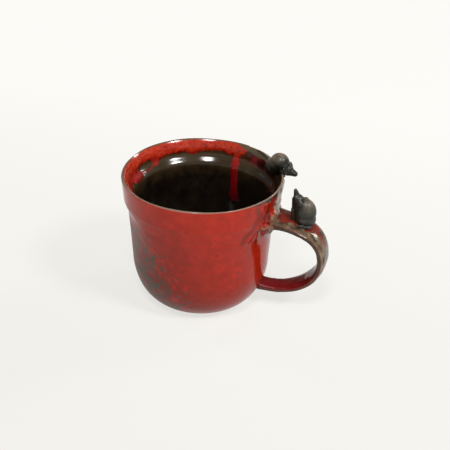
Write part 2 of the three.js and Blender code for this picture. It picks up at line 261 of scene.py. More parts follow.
def red_run(angle, height, inside):
    if not inside:
        return NO_RUN
    ragged = grain(EDGE_WAVES, angle, 0) + grain(EDGE_TEETH, angle, 0)
    run = height - between(RUN_EDGE, angle + grain(EDGE_SHIFT, angle, height)) + ragged
    side = arc(angle, DRIP_ANGLE + DRIP_SLANT * (height - DRIP_FOOT) + grain(DRIP_WANDER, 0, height))
    swell = 1 + grain(DRIP_SWELL, angle, height)
    drip = DRIP_HALF * swell - math.hypot(side, height - limit(height, DRIP_FOOT, DRIP_TOP))
    bead = BEAD - math.hypot(side * BEAD_NARROW, (height - DRIP_FOOT - BEAD_LIFT) * BEAD_TALL)
    hole = math.hypot(arc(angle, HOLE_ANGLE) / HOLE_WIDE, (height - HOLE_HEIGHT) / HOLE_HIGH) - 1
    return max(min(run, hole * HOLE_HIGH), drip, bead)


runs = [red_run(*place) for place in places]
print("points under the red run:", sum(run > 0 for run in runs))

# %% [markdown]
# ## The thickness of the glaze
# A run of glaze stands proud of the wall, and its rounded edge is what catches the light. Weight painting
# says how strongly each point takes part, and a Displace modifier pushes it out along its normal. Bump in a
# material could only pretend: the edge would vanish in the silhouette and in the exported mesh. On the near
# lip the run thins out towards the crest, because the glaze flowed away from it on both sides.

# %% Raised glaze
RUN_THICKNESS, RUN_SLOPE, LIP_FADE = 0.6, 2.2, 2.5
NEAR_LIP = [(-180, 0), (-150, 1), (-20, 1), (0, 0), (180, 0)]


def push(piece, name, weights, strength, texture=None, middle=0.0):
    group = piece.vertex_groups.new(name=name)
    for index, weight in enumerate(weights):
        if weight > 0:
            group.add([index], min(weight, 1), "REPLACE")
    modifier = piece.modifiers.new(name, "DISPLACE")
    modifier.strength = strength * MM
    modifier.mid_level = middle
    modifier.vertex_group = name
    if texture:
        modifier.texture = texture
        modifier.texture_coords = "LOCAL"
    bpy.context.view_layer.objects.active = piece
    bpy.ops.object.modifier_apply(modifier=name)


def run_weight(run, angle, height):
    by_crest = limit(1 - (HEIGHT - height) / LIP_FADE)
    return math.sqrt(limit(run / RUN_SLOPE)) * (1 - between(NEAR_LIP, angle) * by_crest)


run_weights = [run_weight(run, angle, height) for run, (angle, height, inside) in zip(runs, places)]
push(cup, "red run", run_weights, RUN_THICKNESS)
print("the red run stands", RUN_THICKNESS, "mm proud")

# %% [markdown]
# ## A softer shoulder in front
# On the left the step below the collar is plain to see, but it fades towards the front, where the potter's
# hand smoothed it away. We measure how far the wall lies behind a straight flare from belly to collar and
# push it out by that much, with a weight that grows from the left side to the front and ends before the
# handle.

# %% Soft front shoulder
FLARE_FOOT, FLARE_HEIGHT, FLARE_DEPTH = 44.4, 45.0, 1.3
FRONT = [(-180, 0), (-150, 0), (-114, 1), (-40, 1), (-20, 0), (180, 0)]


def behind_flare(angle, height, inside):
    if inside or not FLARE_HEIGHT < height < SHOULDER_TOP:
        return 0.0
    share = (height - FLARE_HEIGHT) / (SHOULDER_TOP - FLARE_HEIGHT)
    flare = FLARE_FOOT + (COLLAR - FLARE_FOOT) * share
    return (flare - outer_radius(height)) / FLARE_DEPTH * between(FRONT, angle)


push(cup, "front", [behind_flare(*place) for place in places], FLARE_DEPTH)
print("the shoulder fades to nothing in front")

# %% [markdown]
# ## Thumb marks by the handle's root
# Where the handle was pressed on, the wall of the collar is lumpy, and a ridge of clay and glaze runs down
# it like a tear. Lumps come from noise that is painted on this part of the wall alone. The ridge is a line
# of a few places, and each point of the wall rises by how near it is to that line. Clay smeared round the
# root rises in the same way, by how near a point is to the end of the strap, and a thumb drew it out to a
# short horn on the near side and a knob above.

# %% Lumps and ridge
PRESSED_SIDE, PRESSED_FOOT, PRESSED_TOP = 27, 60, 83
PRESSED_FADE, PRESSED_TOP_FADE = 5, 1.5
WORKED_SIDE, WORKED_FOOT = 60, 45
LUMPS, CRUMBS = (6.5, 21, 1.1), (3, 23, 0.4)
LUMP_HEIGHT, LUMP_START, LUMP_SHARE = 1.3, 0.5, 0.6
RIDGE = [(-29, 83), (-27, 75.6), (-29.5, 72), (-31.5, 68), (-37, 64.5), (-39, 60)]
RIDGE_HEIGHT, RIDGE_HALF = 0.75, 1.1


def hill(away, half):
    return math.exp(-((away / half) ** 2))


def on_sheet(angle, height):
    return Vector((math.radians(angle) * NECK, height))


def from_line(line, angle, height):
    spot = on_sheet(angle, height)
    distances = []
    for first, last in zip(line, line[1:]):
        start = on_sheet(*first)
        way = on_sheet(*last) - start
        share = limit((spot - start).dot(way) / way.length_squared)
        distances.append((spot - start - way * share).length)
    return min(distances)


def by_root(angle, height):
    side = max(abs(angle) - PRESSED_SIDE, 0) / PRESSED_FADE
    up = max(height - PRESSED_TOP, 0) / PRESSED_TOP_FADE + max(PRESSED_FOOT - height, 0) / PRESSED_FADE
    return hill(side, 1) * hill(up, 1)


def thumbed(angle, height):
    noisy = LUMP_START + grain(LUMPS, angle, height) + grain(CRUMBS, angle, height)
    ridge = hill(from_line(RIDGE, angle, height), RIDGE_HALF) * RIDGE_HEIGHT / LUMP_HEIGHT
    return by_root(angle, height) * max(noisy, 0) * LUMP_SHARE + ridge


def near_root(mark):
    return [mark(angle, height) if not inside and height > WORKED_FOOT and abs(angle) < WORKED_SIDE else 0.0
            for angle, height, inside in places]


push(cup, "thumbed", near_root(thumbed), LUMP_HEIGHT)
print("thumb marks of up to", LUMP_HEIGHT, "mm beside the root")

# %% Clay smeared round the root
ROOT_MIDDLE, ROOT_HALF, ROOT_UP, ROOT_NEAR_UP, ROOT_DOWN = 62.6, 13.5, 1.5, 6.0, 4.0
NEAR_START, SMEAR_LEAST, SMEAR_GRAIN = 4, 1.5, (5, 27, 0.3)
FILLET, FILLET_WIDTH = 2.8, 2.2
HORNS = [[(-15, 64.5), (-22, 66), (-27, 66.8)], [(-19.5, 71), (-14, 72.6)]]
HORN_HEIGHT, HORN_HALF = 2.8, 1.7


def smeared(angle, height):
    side = math.radians(angle) * NECK
    near = limit((NEAR_START - side) / ROOT_HALF)
    rise = ROOT_UP + ROOT_NEAR_UP * near if height > ROOT_MIDDLE else ROOT_DOWN
    half = rise * max(1 - (side / ROOT_HALF) ** 4, 0) + SMEAR_LEAST
    away = math.hypot(max(abs(side) - ROOT_HALF, 0), max(abs(height - ROOT_MIDDLE) - half, 0))
    return hill(away, FILLET_WIDTH) * (1 + grain(SMEAR_GRAIN, angle, height))


def horned(angle, height):
    return hill(min(from_line(horn, angle, height) for horn in HORNS), HORN_HALF)


push(cup, "smeared", near_root(smeared), FILLET)
push(cup, "horned", near_root(horned), HORN_HEIGHT)
print("a fillet of", FILLET, "mm and horns of", HORN_HEIGHT, "mm round the root")

# %% [markdown]
# ## The hand of the potter
# No thrown wall is perfectly true. A soft cloud texture moves the wall in and out by half a millimetre over
# some centimetres, which bends the reflections gently. The foot stays flat, so the mug stands firmly.

# %% Hand-thrown wall
WAVE_LENGTH, WAVE_HEIGHT, FIRM_FOOT = 34, 1.1, 20
clouds = bpy.data.textures.new("thrown wall", "CLOUDS")
clouds.noise_scale = WAVE_LENGTH * MM
clouds.noise_depth = 1
above_foot = [min(height / FIRM_FOOT, 1) for angle, height, inside in places]
push(cup, "wall", above_foot, WAVE_HEIGHT, clouds, middle=0.5)
print("the cup is", in_mm(cup.dimensions), "mm")

# %% [markdown]
# ## Colour and nodes
# Colours are written as they look on a screen, as hex values. Blender calculates with light itself, so one
# function turns them to linear. One more function adds a node to the material in hand, sets it and links
# it, and that is all the materials need. Inputs come by name, or in the order of the sockets: a Map Range
# gets its value, the span it comes from and the span it goes to. On a colour Mix, socket 0 is the share, 6
# the colour below and 7 the colour laid over it.

# %% Colour and nodes
def linear(code):
    parts = [int(code[k:k + 2], 16) / 255 for k in (1, 3, 5)]
    light = [v / 12.92 if v <= 0.04045 else ((v + 0.055) / 1.055) ** 2.4 for v in parts]
    return (*light, 1.0)


def nodes_of(owner):
    owner.use_nodes = True
    tree = owner.node_tree
    tree.nodes.clear()

    def add(kind, inputs=(), stops=(), **settings):
        made = tree.nodes.new("ShaderNode" + kind)
        for name, value in settings.items():
            setattr(made, name, value)
        for socket, value in inputs.items() if isinstance(inputs, dict) else enumerate(inputs):
            if isinstance(value, bpy.types.Node):
                value = next(out for out in value.outputs if out.enabled)
            if isinstance(value, bpy.types.NodeSocket):
                tree.links.new(value, made.inputs[socket])
            else:
                made.inputs[socket].default_value = linear(value) if isinstance(value, str) else value
        for k, (place, code) in enumerate(stops):
            ramp = made.color_ramp.elements
            mark = ramp[k] if k < len(ramp) else ramp.new(1.0)
            mark.position = place
            mark.color = linear(code)
        return made

    return add


def across(size):
    return 1 / (size * MM)


print("copper red in linear light:", [round(v, 3) for v in linear("#A01C10")])

# %% [markdown]
# ## Marks that the fire left, and painted shade
# The colour of a copper glaze depends on where the flame went. On the left flank the copper has burnt out
# to ash grey and green, and the red around it is painted darker towards the left and the foot, as painted
# shade. Here and there a bubble left a bright ring with a dark middle. The lip is bare where the glaze ran
# off it, and by the handle the red is burnt in streaks and turns to bronze. Each of these is stored on the
# mesh as an attribute for the material. Angles on the left flank are counted on past -180 degrees, so that
# the ash has no seam there.

# %% Ash, rings and painted flank shade
ASH_EDGE = [(0, -84), (16, -88), (27, -88), (36, -96), (48, -102), (56, -118), (64, -126)]
ASH_BACK, ASH_TOP, ASH_START, ASH_MOST = -222, 68, 0.35, 0.8
ASH_FADE, ASH_BACK_FADE, ASH_TOP_FADE = 46, 60, 14
BLOOMS = [(-79.5, 53, 2.3), (-44.6, 38, 2.7), (-62.8, 54, 2.1), (-60.6, 44.5, 2.4), (-65, 66, 1.8),
          (-111, 39, 2.2)]
BLOOM_WIDTH, BLOOM_CORE, BLOOM_WAVER = 1.1, 0.9, (2.6, 31, 0.9)
FLANK_SHADE_SIDE, FLANK_SHADE_SIDE_FADE, FLANK_SHADE_TOP, FLANK_SHADE_TOP_FADE = -50, 80, 84, 60
LAST_ANGLE = 40


def stain(piece, name, values):
    layer = piece.data.attributes.new(name, "FLOAT", "POINT")
    layer.data.foreach_set("value", values)


def leftwards(angle):
    return angle if angle < LAST_ANGLE else angle - 360


def ashen(angle, height):
    turned = leftwards(angle)
    near = (between(ASH_EDGE, height) - turned) / ASH_FADE + ASH_START
    back = (turned - ASH_BACK) / ASH_BACK_FADE
    top = (ASH_TOP - height) / ASH_TOP_FADE
    return limit(min(near, back, top), 0, ASH_MOST)


def bloom(angle, height):
    radius = outer_radius(height)
    waver = grain(BLOOM_WAVER, angle, height)
    mark = 0.0
    for middle, level, size in BLOOMS:
        away = math.hypot(math.radians(angle - middle) * radius, height - level) + waver
        mark += hill(away - size, BLOOM_WIDTH) - hill(away, BLOOM_CORE)
    return mark


# Painted shade: the red is darkened towards the left flank and towards the foot.
def painted_flank_shade(angle, height):
    side = limit((FLANK_SHADE_SIDE - leftwards(angle)) / FLANK_SHADE_SIDE_FADE)
    return side * limit((FLANK_SHADE_TOP - height) / FLANK_SHADE_TOP_FADE)


stain(cup, "red_run", runs)
for name, mark in (("ash", ashen), ("bloom", bloom), ("flank_shade", painted_flank_shade)):
    stain(cup, name, [0.0 if inside else mark(angle, height) for angle, height, inside in places])
print("bubbles left", len(BLOOMS), "rings")

# %% Burnt streaks, bare lip and bronze
GROOVE_LINE = [(angle - 4.5, height) for angle, height in RIDGE]
GROOVE_BURN, GROOVE_HALF, STREAK_START, STREAKS = 0.75, 1.8, 0.5, (3, 61, 1.8)
BARE_DEPTH = [(-180, 0.7), (34, 0.7), (46, 3.4), (64, 3.4), (78, 0.7), (180, 0.7)]
BARE_OUTSIDE, BARE_FADE, BARE_GRAIN = 0.7, 0.5, (5, 41, 0.5)
CRIMSON_NEAR, CRIMSON_NEAR_FADE, CRIMSON_FAR, CRIMSON_FAR_FADE = 28, 10, 76, 16
CRIMSON_HEIGHT, CRIMSON_HALF = 80.5, 5.5
LINER_MIDDLE, LINER_HALF, LINER_FADE = 24, 38, 20
COLLAR_NEAR, COLLAR_FAR, COLLAR_SIDE_FADE, COLLAR_FOOT, COLLAR_FADE = -9, 62, 9, 68, 8
BRIM_FOOT, BRIM_FADE, BRIM_MOST, BRIM_TAPER, BRIM_END = 82.2, 1.5, 0.9, 0.11, -18
BRIM_FAR, BRIM_FAR_FADE = 40, 20
SMEAR_BRONZE, HORN_BRONZE = 1.5, 1.3


def burnt(angle, height):
    groove = GROOVE_BURN * hill(from_line(GROOVE_LINE, angle, height), GROOVE_HALF)
    streaks = by_root(angle, height) * max(STREAK_START + grain(STREAKS, 2 * angle, height / 2), 0)
    return limit(max(groove, streaks))


def bare_lip(angle, height, inside):
    depth = between(BARE_DEPTH, angle) * (1 + grain(BARE_GRAIN, angle, height)) if inside else BARE_OUTSIDE
    return limit((height - HEIGHT + depth) / BARE_FADE)


def crimson(angle, height, inside):
    side = limit(min((angle - CRIMSON_NEAR) / CRIMSON_NEAR_FADE, (CRIMSON_FAR - angle) / CRIMSON_FAR_FADE))
    return side * max(1 - abs(height - CRIMSON_HEIGHT) / CRIMSON_HALF, 0) * inside


def bronzed(angle, height, inside):
    if inside:
        return limit((LINER_HALF - abs(angle - LINER_MIDDLE)) / LINER_FADE)
    side = 1 - max(COLLAR_NEAR - angle, angle - COLLAR_FAR, 0) / COLLAR_SIDE_FADE
    collar = limit(min(side, (height - COLLAR_FOOT) / COLLAR_FADE))
    brim_foot = BRIM_FOOT + BRIM_TAPER * max(BRIM_END - angle, 0)
    brim = limit(min((height - brim_foot) / BRIM_FADE, (BRIM_FAR - angle) / BRIM_FAR_FADE), 0, BRIM_MOST)
    root = max(SMEAR_BRONZE * smeared(angle, height), HORN_BRONZE * horned(angle, height))
    return max(collar, brim, min(root, 1))


stain(cup, "burnt", near_root(burnt))
for name, mark in (("bare_lip", bare_lip), ("crimson", crimson), ("bronzed", bronzed)):
    stain(cup, name, [mark(*place) for place in places])
print("the cup's attributes:", [layer.name for layer in cup.data.attributes if layer.data_type == "FLOAT"])

# %% [markdown]
# ## Copper red glaze
# Copper red is a glassy stoneware glaze: a deep saturated red under a clear gloss. It is mottled in patches
# of some millimetres, with finer clouds and dark specks inside them, and it is painted brighter towards the
# lip and darker towards the foot, as painted light and shade. Where the ash attribute grows, the patches
# break into grey-green islands with red embers between them, so the noise is added before the threshold
# and not after it. Bronze is broken up in the same way. Then the colours are laid over each other in a
# loop, each with its own share. Most are what the fire laid; the darker flank is painted shade, and the
# light tone of the bare lip is partly a painted reflection.

# %% Patches, specks and rings
red = bpy.data.materials.new("copper_red_stoneware_glaze")
add = nodes_of(red)
spot = add("TexCoord").outputs["Object"]
level = add("SeparateXYZ", [spot]).outputs["Z"]
ash, rings, flank_shade, burn, bronze_mark, lip = [
    add("Attribute", attribute_name=name).outputs["Fac"]
    for name in ("ash", "bloom", "flank_shade", "burnt", "bronzed", "bare_lip")]
patches = add("TexNoise", {"Vector": spot, "Scale": across(6), "Detail": 5, "Roughness": 0.65})
specks = add("TexNoise", {"Vector": spot, "Scale": across(1.6), "Detail": 2})
reds = add("ValToRGB", {"Fac": patches},
           [(0.3, "#8E1E0C"), (0.45, "#9B200C"), (0.58, "#A4220E"), (0.74, "#AE2814")])
dark_specks = add("ValToRGB", {"Fac": specks}, [(0.24, "#FFFFFF"), (0.32, "#000000")])
ring = add("MapRange", [rings, 0.1, 1.0, 0.0, 0.5])
core = add("MapRange", [rings, -0.1, -0.9, 0.0, 0.55])
flank_shade_share = add("Math", [flank_shade, 0.8], operation="MULTIPLY")
burnt_share = add("Math", [burn, 0.8], operation="MULTIPLY")
print("patches, specks and rings are mixed")

# %% Ash, embers and bronze
islands = add("TexNoise", {"Vector": spot, "Scale": across(4.4), "Detail": 4, "Roughness": 0.6})
embers = add("TexNoise", {"Vector": spot, "Scale": across(4), "Detail": 2, "W": 3.0}, noise_dimensions="4D")
ash_broken = add("Math", [islands, 3.6, ash], operation="MULTIPLY_ADD")
ash_spots = add("MapRange", [ash_broken, 2.4, 2.75, 0.0, 0.9])
ash_gate = add("MapRange", [ash, 0.0, 0.2])
ash_share = add("Math", [ash_spots, ash_gate], operation="MULTIPLY")
ash_tones = add("ValToRGB", {"Fac": patches}, [(0.38, "#4C382E"), (0.5, "#484238"), (0.62, "#3E463A")])
ember_spots = add("MapRange", [embers, 0.53, 0.6, 0.0, 0.8])
ember_start = add("MapRange", [ash, 0.1, 0.35])
ember_end = add("MapRange", [ash, 0.9, 0.6])
ember_zone = add("Math", [ember_start, ember_end], operation="MULTIPLY")
ember_share = add("Math", [ember_spots, ember_zone], operation="MULTIPLY")
bronze_broken = add("Math", [patches, 2.0, bronze_mark], operation="MULTIPLY_ADD")
bronze_share = add("MapRange", [bronze_broken, 1.5, 1.8])
bronze_level = add("MapRange", [level, 66 * MM, 86 * MM])
bronze_tones = add("ValToRGB", {"Fac": bronze_level},
                   [(0.1, "#745240"), (0.5, "#705C44"), (0.75, "#645240"), (0.88, "#2A1C14")])
print("ash, embers and bronze are mixed")

# %% Layers and gloss of the red glaze
colour = reds
# The bare lip's light tone in the red glaze is partly a painted reflection on its crest.
# The flank shade laid in this loop is painted shade.
for share, tone in ((dark_specks, "#6A1E10"), (ring, "#BE2418"), (core, "#642414"),
                    (flank_shade_share, "#5E2014"), (burnt_share, "#480E08"), (ash_share, ash_tones),
                    (ember_share, "#AC2018"), (bronze_share, bronze_tones), (lip, "#7C685A")):
    colour = add("Mix", {0: share, 6: colour, 7: tone}, data_type="RGBA")
# Painted light and shade: the red is lifted towards the lip and darkened towards the foot.
painted_light_lift = add("MapRange", [level, 12 * MM, 80 * MM, 0.88, 1.14])
painted_light_lifted = add("HueSaturation", {"Value": painted_light_lift, "Color": colour})
bronze_dull = add("Math", [bronze_share, 0.1], operation="MULTIPLY")
dull = add("Math", [ash, bronze_dull], operation="MAXIMUM")
gloss = add("MapRange", [dull, 0.0, 0.9, 0.12, 0.4])
ripple = add("Bump", {"Height": patches, "Strength": 0.25, "Distance": 0.15 * MM})
surface = add("BsdfPrincipled", {"Base Color": painted_light_lifted, "Roughness": gloss, "IOR": 1.36, "Normal": ripple})
add("OutputMaterial", {"Surface": surface})
print(red.name, "has", len(red.node_tree.nodes), "nodes")

# %% [markdown]
# ## Black liner glaze
# The liner is an iron-rich black glaze: almost no colour of its own, so what the eye sees is the mirror of
# its gloss. Near the top it breaks to olive brown, and by the rim mouse to a dark crimson. The red run lies
# over it, thick and bright, full of dark specks where the black boils through, and deeper red where it is
# low. The run's attribute is a distance, so a fine noise added to it roughens the edge of the colour.

# %% Olive and crimson in the liner
black = bpy.data.materials.new("iron_black_liner_glaze")
add = nodes_of(black)
spot = add("TexCoord").outputs["Object"]
level = add("SeparateXYZ", [spot]).outputs["Z"]
right_side, crimson_share, run, lip = [
    add("Attribute", attribute_name=name).outputs["Fac"]
    for name in ("bronzed", "crimson", "red_run", "bare_lip")]
broad = add("TexNoise", {"Vector": spot, "Scale": across(9), "Detail": 4, "Roughness": 0.6})
blacks = add("ValToRGB", {"Fac": broad}, [(0.35, "#0C0808"), (0.7, "#1E170F")])
olive_wander = add("Math", [broad, 14 * MM, level], operation="MULTIPLY_ADD")
olive_level = add("MapRange", [olive_wander, 70 * MM, 84 * MM])
olive_side = add("MapRange", [right_side, 0.0, 1.0, 1.0, 0.15])
olive_share = add("Math", [olive_level, olive_side], operation="MULTIPLY")
crimson_tones = add("ValToRGB", {"Fac": broad}, [(0.42, "#26060A"), (0.56, "#4A0A12"), (0.64, "#86202A")])
print("olive and crimson are mixed")

# %% Run and gloss of the liner
fine = add("TexNoise", {"Vector": spot, "Scale": across(1.8), "Detail": 3})
boil = add("TexNoise", {"Vector": spot, "Scale": across(2.6), "Detail": 4, "Roughness": 0.7})
run_ragged = add("Math", [fine, 1.2, run], operation="MULTIPLY_ADD")
run_share = add("MapRange", [run_ragged, 0.35, 0.95])
run_thin = add("MapRange", [run, 0.0, 2.6, 0.15, 0.0])
run_boil = add("Math", [boil, run_thin], operation="SUBTRACT")
run_reds = add("ValToRGB", {"Fac": run_boil},
               [(0.28, "#300A08"), (0.37, "#8A1A0E"), (0.46, "#A62612"), (0.57, "#B2301A"),
                (0.70, "#C04428")])
drip_level = add("MapRange", [level, 46 * MM, 76 * MM])
deep_reds = add("ValToRGB", {"Fac": drip_level}, [(0.1, "#4A050A"), (0.5, "#6E080E"), (0.9, "#7C1010")])
deep = add("MapRange", [level, 80 * MM, 73 * MM])
run_tones = add("Mix", {0: deep, 6: run_reds, 7: deep_reds}, data_type="RGBA")
lip_share = add("Math", [lip, 0.92], operation="MULTIPLY")
colour = blacks
for share, tone in ((olive_share, "#3C2E1A"), (crimson_share, crimson_tones), (run_share, run_tones),
                    (lip_share, "#584C38")):
    colour = add("Mix", {0: share, 6: colour, 7: tone}, data_type="RGBA")
ripple = add("Bump", {"Height": broad, "Strength": 0.3, "Distance": 0.25 * MM})
surface = add("BsdfPrincipled", {"Base Color": colour, "Roughness": 0.15, "IOR": 1.5, "Normal": ripple})
add("OutputMaterial", {"Surface": surface})
print(black.name, "has", len(black.node_tree.nodes), "nodes")

# %% [markdown]
# ## Bare stoneware
# A potter wipes the glaze off the foot, or the mug would stick to the kiln shelf. Bare stoneware is a matt
# buff clay with grains of sand in it.

# %% Bare stoneware
bare = bpy.data.materials.new("bare_stoneware_clay")
add = nodes_of(bare)
spot = add("TexCoord").outputs["Object"]
sand = add("TexNoise", {"Vector": spot, "Scale": across(0.9), "Detail": 3})
clay_tones = add("ValToRGB", {"Fac": sand}, [(0.35, "#6E5240"), (0.6, "#96775C")])
grit = add("Bump", {"Height": sand, "Strength": 0.4, "Distance": 0.1 * MM})
surface = add("BsdfPrincipled", {"Base Color": clay_tones, "Roughness": 0.85, "Normal": grit})
add("OutputMaterial", {"Surface": surface})
print(bare.name, "has", len(bare.node_tree.nodes), "nodes")

# %% [markdown]
# ## Glazing the cup
# The cup gets its three finishes by faces: black inside the crest of the lip, bare clay on the flat foot
# and red everywhere else. Then it is tied to the frame: it rides on the only body and stands for the CAD
# node of the cup.

# %% Glazed cup
FOOT_BAND = 0.1


def dress(piece, slot, *nodes):
    piece.data.name = piece.name
    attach(piece, "root")
    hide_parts(*nodes)
    print(piece.name, "has", len(piece.data.polygons), "faces and stands for", nodes)


for material in (red, black, bare):
    cup.data.materials.append(material)
for face in cup.data.polygons:
    angle, height, inside = wall_place(face.center)
    if height < FOOT_BAND:
        face.material_index = 2
    elif inside:
        face.material_index = 1
dress(cup, "red_glaze", "cup_body")

# %% [markdown]
# ## The handle, straight
# A potter pulls a handle as a straight wet strap and only then bends it on to the cup. We do the same. A
# plane with rounded corners is the strap's section. It is extruded and resized step by step: wide and thick
# at the root, thin at the lower end, and spread again where it is pressed on. Each knot of the path that it
# will follow is a place with the handles before and after it.

# %% Straight strap
STRAP_PATH = [((43.4, 62.7), (22.0, 63.8), (64.8, 61.6)), ((78.8, 38.6), (78.8, 56.0), (78.8, 26.6)),
              ((37.5, 13.5), (64.1, 8.9), (10.9, 18.1))]
STRAP_STEPS, PATH_POINTS = 60, 400
TOP_WIDTH, LOW_WIDTH, TOP_THICKNESS, LOW_THICKNESS, TAPER = 22.4, 8.0, 6.8, 4.5, 0.6
ROOT_SPREAD, ROOT_DEPTH, HEEL_SPREAD, SPREAD_LENGTH = 7.0, 7.0, 3.0, 6.5
CORNER, CORNER_STEPS, SIDE, SIDE_CUTS = 0.28, 6, 0.2, 7

bow_points = []
for (here, before, after), (there, to_there, onwards) in zip(STRAP_PATH, STRAP_PATH[1:]):
    corners = [Vector(place) for place in (here, after, to_there, there)]
    bow_points += interpolate_bezier(*corners, PATH_POINTS)
STRAP_LENGTH = sum((there - here).length for here, there in zip(bow_points, bow_points[1:]))


def strap_size(along):
    left = max(1 - along / STRAP_LENGTH, 0) ** TAPER
    root = math.exp(-along / SPREAD_LENGTH)
    heel = HEEL_SPREAD * math.exp((along - STRAP_LENGTH) / SPREAD_LENGTH)
    width = LOW_WIDTH + (TOP_WIDTH - LOW_WIDTH) * left + ROOT_SPREAD * root + heel
    thickness = LOW_THICKNESS + (TOP_THICKNESS - LOW_THICKNESS) * left + ROOT_DEPTH * root + heel
    return width, thickness


def select_only(piece, kind, indices):
    mode("EDIT")
    bpy.ops.mesh.select_mode(type=kind)
    bpy.ops.mesh.select_all(action="DESELECT")
    mode("OBJECT")
    elements = piece.data.edges if kind == "EDGE" else piece.data.vertices
    for index in indices:
        elements[index].select = True
    mode("EDIT")


deselect()
bpy.ops.mesh.primitive_plane_add(size=MM, rotation=(0, math.pi / 2, 0))
strap = bpy.context.object
strap.name = "pulled_handle"
bpy.ops.object.transform_apply(location=True, rotation=True, scale=True)
mode("EDIT")
select_all_points()
bpy.ops.mesh.bevel(offset=CORNER * MM, segments=CORNER_STEPS, affect="VERTICES")
mode("OBJECT")
ends = [[strap.data.vertices[k].co for k in edge.vertices] for edge in strap.data.edges]
select_only(strap, "EDGE", [k for k, (a, b) in enumerate(ends) if (a - b).length > SIDE * MM])
bpy.ops.mesh.subdivide(number_cuts=SIDE_CUTS)
select_all_points()
bpy.ops.transform.resize(value=(1, *strap_size(0)), center_override=(0, 0, 0))
stations = [STRAP_LENGTH * (k / STRAP_STEPS) for k in range(STRAP_STEPS + 1)]
for here, there in zip(stations, stations[1:]):
    bpy.ops.mesh.extrude_region_move(TRANSFORM_OT_translate={"value": ((there - here) * MM, 0, 0)})
    (width, thickness), (wider, thicker) = strap_size(here), strap_size(there)
    growth = (1, wider / width, thicker / thickness)
    bpy.ops.transform.resize(value=growth, center_override=(there * MM, 0, 0))
select_all_points()
bpy.ops.mesh.normals_make_consistent(inside=False)
mode("OBJECT")
print("the straight strap is", in_mm(strap.dimensions), "mm")

# %% [markdown]
# ## Thinning and bending the strap
# The fingers that pull a strap leave it thick in the middle and thin at its edges, with a shallow trough
# along the top, and this one is twisted a little towards us on its way over the top. Before bending, each
# point still knows how far along the strap it lies and on which face, so those go into attributes for the
# glaze. A Curve modifier then bends the strap along a path of two bows, and Subdivision rounds what is left
# of the steps. A cloud texture moves the surface by a few tenths of a millimetre, like finger marks, so the
# gloss breaks up.

# %% Pulled strap
OUTER_THIN, INNER_THIN, ROOT_THIN, ROOT_THIN_LENGTH = 0.6, 0.6, 0.3, 7
TROUGH, TROUGH_HALF = 0.5, 0.6
TWIST = [(0, 0), (6, 0), (22, 5), (46, 5), (68, -5), (88, 0), (110, 0)]


def pulled(point):
    along = point.x / MM
    width, thickness = strap_size(along)
    aside = min(abs(2 * point.y / MM / width), 1)
    inner = INNER_THIN * max(1 - along / STRAP_LENGTH, 0)
    thin = (OUTER_THIN if point.z > 0 else inner) * aside ** 2
    root = 1 - ROOT_THIN * math.exp(-along / ROOT_THIN_LENGTH) * aside ** 2
    trough = TROUGH * max(1 - (aside / TROUGH_HALF) ** 2, 0) * max(2 * point.z / MM / thickness, 0)
    place = Vector((point.y, point.z * (1 - thin) * root - trough * MM))
    place.rotate(Matrix.Rotation(math.radians(between(TWIST, along)), 2))
    return Vector((point.x, place.x, place.y))


spots = [vertex.co.copy() for vertex in strap.data.vertices]
stain(strap, "along", [spot.x / STRAP_LENGTH / MM for spot in spots])
stain(strap, "outer_face", [2 * spot.z / MM / strap_size(spot.x / MM)[1] for spot in spots])
stain(strap, "across_strap", [2 * spot.y / MM / strap_size(spot.x / MM)[0] for spot in spots])
for vertex, spot in zip(strap.data.vertices, spots):
    vertex.co = pulled(spot)
print("the pulled strap is", in_mm(strap.dimensions), "mm")

# %% Bent strap
PATH_SMOOTHNESS, PINCH_SIZE, PINCH_HEIGHT = 64, 7, 0.6

deselect()
bpy.ops.curve.primitive_bezier_curve_add()
path = bpy.context.object
bend = path.data.splines[0]
bend.bezier_points.add(1)
for knot, places_of_knot in zip(bend.bezier_points, STRAP_PATH):
    knot.handle_left_type = "FREE"
    knot.handle_right_type = "FREE"
    knot.co, knot.handle_left, knot.handle_right = [(x * MM, 0, z * MM) for x, z in places_of_knot]
path.data.resolution_u = PATH_SMOOTHNESS
rounding = strap.modifiers.new("round", "SUBSURF")
rounding.levels = 1
rounding.render_levels = 1
strap.modifiers.new("bend", "CURVE").object = path
bpy.context.view_layer.objects.active = strap
bpy.ops.object.modifier_apply(modifier="round")
bpy.ops.object.modifier_apply(modifier="bend")
bpy.data.objects.remove(path)
pinches = bpy.data.textures.new("pinched strap", "CLOUDS")
pinches.noise_scale = PINCH_SIZE * MM
push(strap, "pinched", [1.0] * len(strap.data.vertices), PINCH_HEIGHT, pinches, middle=0.5)
deselect()
strap.select_set(True)
bpy.ops.object.shade_smooth()
print("the bent strap is", in_mm(strap.dimensions), "mm")

# %% [markdown]
# ## Bronze and red on the handle
# The same copper glaze lies thinner on the handle and has gone to bronze grey where it ran off, while it
# stays red where it pooled: down the middle of the strap by the root, and again along its lower half. The
# inner face and the upper edges are a deep plum glaze, painted near black towards the root as painted
# shade. A lighter band along the rails is a painted highlight. A satin metallic share in the bronze parts
# gives them their pewter glint.

